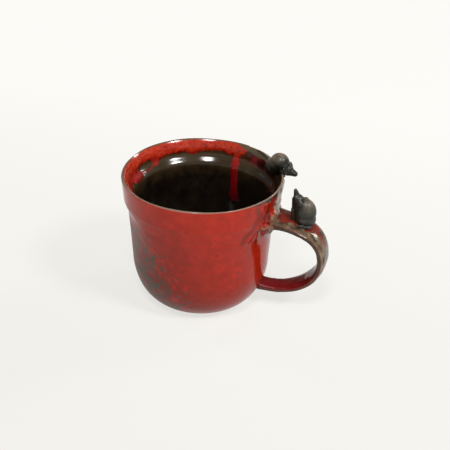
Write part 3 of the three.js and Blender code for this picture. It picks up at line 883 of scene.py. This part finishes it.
# %% Pools of red on the strap
strap_glaze = bpy.data.materials.new("bronze_and_red_strap_glaze")
add = nodes_of(strap_glaze)
spot = add("TexCoord").outputs["Object"]
along, outer, aside = [
    add("Attribute", attribute_name=name).outputs["Fac"]
    for name in ("along", "outer_face", "across_strap")]
cloud = add("TexNoise", {"Vector": spot, "Scale": across(7), "Detail": 4, "Roughness": 0.6})
sideways = add("Math", [aside, aside], operation="MULTIPLY")
pool_root = add("MapRange", [along, 0.26, 0.42, 0.1, -0.3])
pool_low = add("MapRange", [along, 0.5, 0.72, 0.0, 0.25])
pool_middle = add("MapRange", [sideways, 0.0, 0.55, 0.3, 0.0])
pool_ends = add("Math", [pool_root, pool_low], operation="ADD")
pool_depth = add("Math", [pool_ends, pool_middle], operation="ADD")
pool_broken = add("Math", [cloud, 1.6, pool_depth], operation="MULTIPLY_ADD")
pool = add("MapRange", [pool_broken, 0.96, 1.16])
pool_tones = add("ValToRGB", {"Fac": cloud}, [(0.35, "#4C1812"), (0.5, "#661E16"), (0.66, "#803022")])
low_burn = add("MapRange", [along, 0.5, 0.75, 0.0, 0.75])
pool_reds = add("Mix", {0: low_burn, 6: pool_tones, 7: "#52080A"}, data_type="RGBA")
print("pools of red are mixed")

# %% Layers and gloss of the strap
streak = add("TexNoise", {"Vector": spot, "Scale": across(5), "Detail": 2})
bronzes = add("ValToRGB", {"Fac": streak}, [(0.36, "#3A3026"), (0.5, "#5A4E3E"), (0.64, "#84745C")])
# Painted highlight: a lighter band along the rails of the strap.
painted_rail_highlight = add("MapRange", [sideways, 0.45, 0.75, 0.0, 0.4])
low_brown = add("MapRange", [along, 0.5, 0.75, 0.0, 0.85])
# Plum glaze and painted shade: the inner face and upper edges go to plum, darkest towards the root.
inner_face = add("MapRange", [outer, 0.1, -0.5, 0.0, 0.9])
rim_of_strap = add("MapRange", [sideways, 0.82, 0.98, 0.0, 0.8])
upper_part = add("MapRange", [along, 0.7, 0.55])
edge = add("Math", [rim_of_strap, upper_part], operation="MULTIPLY")
plum_and_shade_share = add("Math", [inner_face, edge], operation="MAXIMUM")
plums_and_painted_shade = add("ValToRGB", {"Fac": along}, [(0.25, "#22120E"), (0.5, "#380E0E"), (0.75, "#6A0408")])
colour = bronzes
for share, tone in ((painted_rail_highlight, "#96745C"), (low_brown, "#44302A"), (pool, pool_reds), (plum_and_shade_share, plums_and_painted_shade)):
    colour = add("Mix", {0: share, 6: colour, 7: tone}, data_type="RGBA")
glassy = add("Math", [pool, plum_and_shade_share], operation="MAXIMUM")
metal = add("MapRange", [glassy, 0.0, 1.0, 0.35, 0.0])
sheen = add("MapRange", [glassy, 0.0, 1.0, 0.16, 0.12])
heel_dull = add("MapRange", [along, 0.65, 0.85, 0.0, 0.25])
dulled = add("Math", [sheen, heel_dull], operation="ADD")
ripple = add("Bump", {"Height": cloud, "Strength": 0.5, "Distance": 0.5 * MM})
surface = add("BsdfPrincipled",
              {"Base Color": colour, "Metallic": metal, "Roughness": dulled, "IOR": 1.4, "Normal": ripple})
add("OutputMaterial", {"Surface": surface})
strap.data.materials.append(strap_glaze)
dress(strap, "dark_red_glaze", "handle")

# %% [markdown]
# ## Modelling a mouse
# Each mouse is built from pinches of clay: balls for the back and the chest, a head with a cone for the
# snout, and small balls for cheeks and paws. A board, that is a matrix, holds the animal's own axes: nose
# along X, left side along Y. We add the balls in place on the board, join them, and let a voxel Remesh melt
# them into one skin that Smooth then works over like a wet finger. Ears and tail come after that smoothing,
# because it would wear such thin pieces away. Remesh can leave a bubble inside, so only what hangs together
# with the top is kept.

# %% Tools for the mice
COARSE, COARSE_STROKES, FINE = 0.28, 9, 0.2


def set_board(spot, turn, axis):
    return Matrix.Translation(Vector(spot) * MM) @ Matrix.Rotation(math.radians(turn), 4, axis)


def lump(board, middle, size, turn=(0, 0, 0)):
    tilt = Euler([math.radians(v) for v in turn]).to_matrix().to_4x4()
    place = board @ Matrix.Translation(Vector(middle) * MM) @ tilt
    bpy.ops.mesh.primitive_uv_sphere_add(segments=40, ring_count=24, radius=0.5, location=place.translation,
                                         rotation=place.to_euler(), scale=[v * MM for v in size])
    return bpy.context.object


def cone(board, start, end, first, last):
    way = Vector(end) - Vector(start)
    stand = Matrix.Translation((Vector(start) + way / 2) * MM)
    place = board @ stand @ way.to_track_quat("Z", "Y").to_matrix().to_4x4()
    bpy.ops.mesh.primitive_cone_add(vertices=40, radius1=first * MM, radius2=last * MM,
                                    depth=way.length * MM, location=place.translation,
                                    rotation=place.to_euler())
    return bpy.context.object


def drop_bubbles(skin):
    heights = [vertex.co.z for vertex in skin.data.vertices]
    select_only(skin, "VERT", [heights.index(max(heights))])
    bpy.ops.mesh.select_linked()
    bpy.ops.mesh.select_all(action="INVERT")
    bpy.ops.mesh.delete(type="VERT")
    mode("OBJECT")


def knead(lumps, voxel, strokes):
    deselect()
    for piece in lumps:
        piece.select_set(True)
    bpy.context.view_layer.objects.active = lumps[0]
    bpy.ops.object.join()
    clay = bpy.context.object
    bpy.ops.object.transform_apply(location=True, rotation=True, scale=True)
    melt = clay.modifiers.new("melt", "REMESH")
    melt.mode = "VOXEL"
    melt.voxel_size = voxel * MM
    finger = clay.modifiers.new("finger", "SMOOTH")
    finger.factor = 0.5
    finger.iterations = strokes
    bpy.ops.object.modifier_apply(modifier="melt")
    drop_bubbles(clay)
    bpy.ops.object.modifier_apply(modifier="finger")
    bpy.ops.object.shade_smooth()
    return clay


print("tools for the mice: lump, cone and knead")

# %% [markdown]
# ## Head, forelegs, ears and tail
# Both mice have the same kind of head: a round skull, cheeks, and a snout that tapers to a small nose. A
# foreleg is a cone that ends in a ball. A round ear is a thin disc with a ring for its rolled edge, which
# leaves a hollow in the middle when they melt together. A tail is a path with a round bevel that thins
# towards its tip.

# %% Head, forelegs, ears and tail
SKULL, SHOULDER = 3.7, 1.7
SNOUT_ROOT, SNOUT_DROP, NOSE_SHAPE = 0.6, 0.3, (2.2, 2.1, 2.0)
CHEEK, CHEEK_FORWARD, CHEEK_OUT, CHEEK_DROP = (3.8, 2.9, 2.9), 1.7, 1.6, 0.9
DISC_SHARE, DISC_THICKNESS, DISC_LIFT, EDGE_ROUND, EDGE_LIFT = 1.9, 0.95, 0.35, 0.5, 0.75


def mouse_head(board, snout, nose, muzzle, back):
    tip = (snout - nose, 0, -SNOUT_DROP)
    pieces = [lump(board, (0, 0, back), [2 * SKULL] * 3)]
    pieces.append(cone(board, (SNOUT_ROOT, 0, back - SNOUT_DROP), tip, muzzle, nose))
    pieces.append(lump(board, tip, [share * nose for share in NOSE_SHAPE]))
    for way in (1, -1):
        pieces.append(lump(board, (CHEEK_FORWARD, way * CHEEK_OUT, back - CHEEK_DROP), CHEEK))
    return pieces


def foreleg(board, shoulder, paw, wrist, toes, size):
    return [cone(board, shoulder, paw, SHOULDER, wrist), lump(board, Vector(paw) + Vector(toes), size)]


def mouse_ears(board, middle, looks, radius):
    pieces = []
    for way in (1, -1):
        facing = Vector((looks[0], way * looks[1], looks[2]))
        stand = Matrix.Translation(Vector((middle[0], way * middle[1], middle[2])) * MM)
        place = board @ stand @ facing.to_track_quat("Z", "Y").to_matrix().to_4x4()
        disc = (DISC_SHARE * radius, DISC_SHARE * radius, DISC_THICKNESS)
        pieces.append(lump(place, (0, 0, DISC_LIFT), disc))
        edge = place @ Matrix.Translation((0, 0, EDGE_LIFT * MM))
        bpy.ops.mesh.primitive_torus_add(location=edge.translation, rotation=place.to_euler(),
                                         major_radius=(radius - EDGE_ROUND) * MM,
                                         minor_radius=EDGE_ROUND * MM,
                                         major_segments=40, minor_segments=14)
        pieces.append(bpy.context.object)
    return pieces


def mouse_tail(points, root, tip):
    bpy.ops.curve.primitive_nurbs_path_add()
    path = bpy.context.object
    path.location = (0, 0, 0)
    line = path.data.splines[0]
    line.points.add(len(points) - len(line.points))
    for k, (knot, point) in enumerate(zip(line.points, points)):
        knot.co = (*(Vector(point) * MM), 1)
        knot.radius = 1 + (tip / root - 1) * k / (len(points) - 1)
    path.data.dimensions = "3D"
    path.data.bevel_depth = root * MM
    path.data.bevel_resolution = 5
    path.data.use_fill_caps = True
    bpy.ops.object.convert(target="MESH")
    return bpy.context.object


print("a mouse's skull is", 2 * SKULL, "mm wide")

# %% [markdown]
# ## Bronze glaze and black eyes
# The mice have the glaze at its thinnest: a gunmetal brown with a satin gloss that goes to warm brown on
# the high places and to a cold green-grey below. How far each point faces up is stored as an attribute.
# The tops are lighter, partly because glaze runs off them while it is molten and partly as painted light;
# heads, fronts and feet are darker as painted shade.
# The eyes are beads of thick black glaze, as smooth as drops.

# %% Bronze glaze and black eyes
bronze = bpy.data.materials.new("satin_bronze_glaze")
add = nodes_of(bronze)
spot = add("TexCoord").outputs["Object"]
cloud = add("TexNoise", {"Vector": spot, "Scale": across(5), "Detail": 4, "Roughness": 0.6})
fine = add("TexNoise", {"Vector": spot, "Scale": across(0.9), "Detail": 3})
runoff_and_painted_light = add("Attribute", attribute_name="runoff_and_painted_light").outputs["Fac"]
glaze_tone_and_light = add("Math", [cloud, 0.9, runoff_and_painted_light], operation="MULTIPLY_ADD")
tones = add("ValToRGB", {"Fac": glaze_tone_and_light},
            [(0.3, "#1F1C16"), (0.55, "#36352D"), (0.8, "#5A5145"), (1.0, "#857462")])
satin = add("MapRange", [fine, 0.3, 0.7, 0.3, 0.4])
ripple = add("Bump", {"Height": fine, "Strength": 0.2, "Distance": 0.05 * MM})
surface = add("BsdfPrincipled", {"Base Color": tones, "Roughness": satin, "IOR": 1.38, "Normal": ripple})
add("OutputMaterial", {"Surface": surface})

bead_glaze = bpy.data.materials.new("glossy_black_bead_glaze")
add = nodes_of(bead_glaze)
spot = add("TexCoord").outputs["Object"]
depth = add("TexNoise", {"Vector": spot, "Scale": across(0.6), "Detail": 2})
blacks = add("ValToRGB", {"Fac": depth}, [(0.4, "#060505"), (0.65, "#120D0B")])
surface = add("BsdfPrincipled", {"Base Color": blacks, "Roughness": 0.16, "IOR": 1.45})
add("OutputMaterial", {"Surface": surface})
print(bronze.name, "and", bead_glaze.name, "are mixed")

# %% Glazing a mouse
MOUSE_PARTS = ("body", "head", "left_ear", "right_ear", "left_foreleg", "right_foreleg", "tail")
HEAD_REACH, HEAD_FADE, FOOT_SHADE, FOOT_FADE = 9, 4, 0.5, 2
EYE_FORWARD, EYE_OUT, EYE_UP, EYE_SIZE = 1.3, 2.9, 1.2, (1.05, 1.0, 1.0)


def light_and_shade_of(skin, board, head_board, floor, head_shade, front_shade):
    forwards = board.to_3x3() @ Vector((1, 0, 0))
    shares = []
    for vertex in skin.data.vertices:
        away = (vertex.co - head_board.translation).length / MM
        head = limit((HEAD_REACH - away) / HEAD_FADE)
        foot = limit((floor - (vertex.co - board.translation).z / MM) / FOOT_FADE)
        front = max(vertex.normal.dot(forwards), 0)
        # Painted light on the tops; painted shade on heads, fronts and feet.
        shares.append(vertex.normal.z / 2 - front_shade * front - head_shade * head - FOOT_SHADE * foot)
    return shares


def glaze_mouse(skin, name, board, head_board, **shades):
    skin.name = name + "_skin"
    skin.data.materials.clear()
    skin.data.materials.append(bronze)
    stain(skin, "runoff_and_painted_light", light_and_shade_of(skin, board, head_board, **shades))
    dress(skin, "bronze_glaze", *[name + "_" + part for part in MOUSE_PARTS])
    for side, way in (("left", 1), ("right", -1)):
        deselect()
        bead = lump(head_board, (EYE_FORWARD, way * EYE_OUT, EYE_UP), EYE_SIZE)
        bead.name = name + "_" + side + "_eye_bead"
        bpy.ops.object.transform_apply(location=True, rotation=True, scale=True)
        bpy.ops.object.shade_smooth()
        bead.data.materials.append(bead_glaze)
        dress(bead, "black_glaze", name + "_" + side + "_eye")


print("a mouse's skin stands for", len(MOUSE_PARTS), "pieces of clay")

# %% [markdown]
# ## The mouse on the rim
# It has climbed out over the lip: haunches inside the cup, head outside and looking down, forepaws hooked
# over the edge and tail along the lip. It is modelled on its board in millimetres, and the board puts it on
# the lip.

# %% Mouse on the rim
RIM_ANGLE, RIM_TURN, RIM_LIFT = 24.7, -40, 4.9
RIM_LUMPS = [((0, 0, 0), (12.4, 10.8, 11.6)), ((-4.46, 0, -4.18), (10.5, 10.3, 11.6)),
             ((3.72, 0, -1.62), (7.4, 7.8, 8.1)), ((-2.2, 0, -2.1), (10.8, 10.8, 17.0), (0, 47, 0))]
RIM_HEAD, RIM_HEAD_DROP = (5.83, 0, -3.94), 12
RIM_PAW_ANGLE, RIM_PAW_DROP = 8, 1.3
RIM_TAIL = [(3, -6.2, -1), (7, -4.0, 0.8), (13, -1.2, 1.1), (21, 0, 0.9), (33, 0, 0.3)]
LIP_RADIUS = RIM - LIP / 2


def by_lip(angle, out, up):
    turn = math.radians(angle)
    return Vector(((LIP_RADIUS + out) * math.cos(turn), (LIP_RADIUS + out) * math.sin(turn), HEIGHT + up))


rim_board = set_board(by_lip(RIM_ANGLE, 0, RIM_LIFT), RIM_ANGLE + RIM_TURN, "Z")
rim_head_board = rim_board @ set_board(RIM_HEAD, RIM_HEAD_DROP, "Y")
deselect()
clay = [lump(rim_board, *one) for one in RIM_LUMPS]
clay += mouse_head(rim_head_board, snout=6.9, nose=1.8, muzzle=3.2, back=0)
for way in (1, -1):
    grip = by_lip(RIM_ANGLE + way * RIM_PAW_ANGLE, LIP / 2, -RIM_PAW_DROP)
    paw = rim_board.inverted() @ (grip * MM) / MM
    clay += foreleg(rim_board, (3.5, way * 3.9, -3.2), paw, wrist=1.2, toes=(0, 0, 0), size=(2.9, 2.6, 2.4))
fine_clay = [knead(clay, COARSE, COARSE_STROKES)]
fine_clay += mouse_ears(rim_head_board, middle=(-0.74, 3.2, 1.2), looks=(0.8, 0.15, 0.6), radius=2.6)
tail_line = [by_lip(RIM_ANGLE + turn, out, up) for turn, out, up in RIM_TAIL]
fine_clay.append(mouse_tail(tail_line, root=1.25, tip=0.6))
rim_mouse = knead(fine_clay, FINE, strokes=4)
glaze_mouse(rim_mouse, "rim_mouse", rim_board, rim_head_board, floor=-7, head_shade=0.45, front_shade=0.2)

# %% [markdown]
# ## The mouse on the handle
# This one sits on the strap with its back to the drinker's thumb and its nose in the air, looking up at the
# other. Its body is one tall egg with a chest, its head is tipped up by 80 degrees, and its forelegs are
# planted before the chest. Its ears are laid back and show as two low bumps.

# %% Mouse on the handle
HANDLE_SPOT, HANDLE_TURN = (65.3, 0, 69.9), 168
HANDLE_LUMPS = [((0.2, 0, 0.2), (15.0, 11.8, 17.4)), ((0, 0, -4.2), (14.8, 11.4, 12.4)),
                ((3.9, 0, 1.2), (8.8, 8.4, 13.6)), ((2.8, 0, 4.8), (9.4, 9.0, 9.0))]
CHEST_FOOT, CHEST_TOP, CHEST_LOW, CHEST_HIGH = (4.9, 0, -6), (6.0, 0, 8.0), 3.4, 2.9
HANDLE_HEAD, HANDLE_HEAD_LIFT = (5.62, 0, 6.86), 80

handle_board = set_board(HANDLE_SPOT, HANDLE_TURN, "Z")
handle_head_board = handle_board @ set_board(HANDLE_HEAD, -HANDLE_HEAD_LIFT, "Y")
deselect()
clay = [lump(handle_board, *one) for one in HANDLE_LUMPS]
clay.append(cone(handle_board, CHEST_FOOT, CHEST_TOP, CHEST_LOW, CHEST_HIGH))
clay += mouse_head(handle_head_board, snout=7.4, nose=1.2, muzzle=2.7, back=0.7)
for way in (1, -1):
    clay += foreleg(handle_board, (6.5, way * 2.5, 1.8), (6.6, way * 2.6, -5.6), wrist=1.3,
                    toes=(0.3, 0, -0.4), size=(3.2, 2.6, 2.2))
fine_clay = [knead(clay, COARSE, COARSE_STROKES)]
for way in (1, -1):
    fine_clay.append(lump(handle_board, (0.4, way * 1.7, 7.9), (3.6, 2.6, 2.6)))
low, high = (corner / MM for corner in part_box("handle_mouse_tail"))
tail_line = [(high.x - 3, (low.y + high.y) / 2 + 2, high.z - 2.6), (high.x - 1, low.y + 2.6, high.z - 4.2),
             (high.x - 4, low.y + 1.6, high.z - 2.8), (low.x + 3, low.y + 1.6, high.z - 2.4),
             (low.x + 0.8, low.y + 1.9, high.z - 2.2)]
fine_clay.append(mouse_tail(tail_line, root=1.0, tip=0.6))
handle_mouse = knead(fine_clay, FINE, strokes=7)
glaze_mouse(handle_mouse, "handle_mouse", handle_board, handle_head_board,
            floor=-6, head_shade=0.25, front_shade=0.6)

# %% [markdown]
# ## A pale table
# The mug stands on plain white paper that runs out of sight. For the camera most of its white comes from an
# emission, so it stays even, and reflections see a weaker one. The emitted white is painted paler towards
# the back, as painted light. The rest is diffuse and keeps the soft shadow.

# %% Table
TABLE_SIZE = 8

deselect()
bpy.ops.mesh.primitive_plane_add(size=TABLE_SIZE)
table = bpy.context.object
table.name = "white_paper"
paper = bpy.data.materials.new("matt_white_paper")
add = nodes_of(paper)
rays = add("LightPath").outputs
mirrored = add("Math", [rays["Is Glossy Ray"], 0.6], operation="MULTIPLY")
seen = add("Math", [rays["Is Camera Ray"], mirrored], operation="MAXIMUM")
spot = add("TexCoord").outputs["Object"]
distance = add("SeparateXYZ", [spot]).outputs["Y"]
fade = add("MapRange", [distance, -150 * MM, 300 * MM])
even = add("MapRange", [fade, 0.0, 1.0, 0.74, 0.92])
seen_share = add("Math", [seen, even], operation="MULTIPLY")
# Painted light: the emitted white is paler towards the back.
painted_falloff_whites = add("ValToRGB", {"Fac": fade}, [(0.0, "#EDECE7"), (1.0, "#FEFDF9")])
matt_tone = add("Mix", {0: seen, 6: "#C6C5C1", 7: "#F0EFEB"}, data_type="RGBA")
matt = add("BsdfDiffuse", {"Color": matt_tone})
white = add("Emission", {"Color": painted_falloff_whites, "Strength": 1.0})
sheet = add("MixShader", [seen_share, matt, white])
add("OutputMaterial", {"Surface": sheet})
table.data.materials.append(paper)
print("the paper is", table.dimensions.x, "m wide")

# %% [markdown]
# ## Studio light
# Two small soft boxes stand in front, one to the right and one above the camera. They make the bright twin
# highlights on the ledge inside the cup. A small window on the left glints on the other side of the ledge,
# and a lamp far round on the right glints along the strap. The room has pale walls in front, darker ones
# behind and a dark ceiling, and only the camera sees it white.

# %% Lamps
LAMP_DISTANCE, LAMP_AIM = 2, Vector((0, 0, 0.06))


def lamp(name, azimuth, elevation, size, radiance):
    turn, rise = math.radians(azimuth), math.radians(elevation)
    way = Vector((math.cos(turn) * math.cos(rise), math.sin(turn) * math.cos(rise), math.sin(rise)))
    bpy.ops.object.light_add(type="AREA", location=LAMP_DISTANCE * way + LAMP_AIM)
    made = bpy.context.object
    made.name = name
    made.rotation_euler = (-way).to_track_quat("-Z", "Y").to_euler()
    made.data.shape = "DISK"
    made.data.size = size
    made.data.energy = radiance * math.pi * math.pi * size * size / 4
    print(name, round(made.data.energy, 2), "W")


lamp("right_box", azimuth=-24, elevation=48, size=0.46, radiance=42)
lamp("front_box", azimuth=-84.5, elevation=57, size=0.5, radiance=36)
lamp("right_fill", azimuth=41, elevation=25, size=0.4, radiance=20)
lamp("left_window", azimuth=165, elevation=35, size=0.45, radiance=6)

# %% Room
FRONT_WAY = (0.5, -0.85, 0)
room = bpy.data.worlds.new("pale_room")
add = nodes_of(room)
bpy.context.scene.world = room
rays = add("LightPath").outputs
sky_way = add("TexCoord").outputs["Generated"]
up = add("SeparateXYZ", [sky_way]).outputs["Z"]
walls = add("MapRange", [up, 0.0, 0.8, 0.6, 0.14])
front = add("VectorMath", [sky_way, FRONT_WAY], operation="DOT_PRODUCT").outputs["Value"]
one_side = add("MapRange", [front, -1.0, 1.0, 0.35, 1.15])
glow = add("Math", [walls, one_side], operation="MULTIPLY")
room_light = add("Background", {"Color": "#FAF8F3", "Strength": glow})
room_white = add("Background", {"Color": "#FDFCF8", "Strength": 1.0})
room_both = add("MixShader", [rays["Is Camera Ray"], room_light, room_white])
add("OutputWorld", {"Surface": room_both})
print("the room is paler at its walls than at its ceiling")
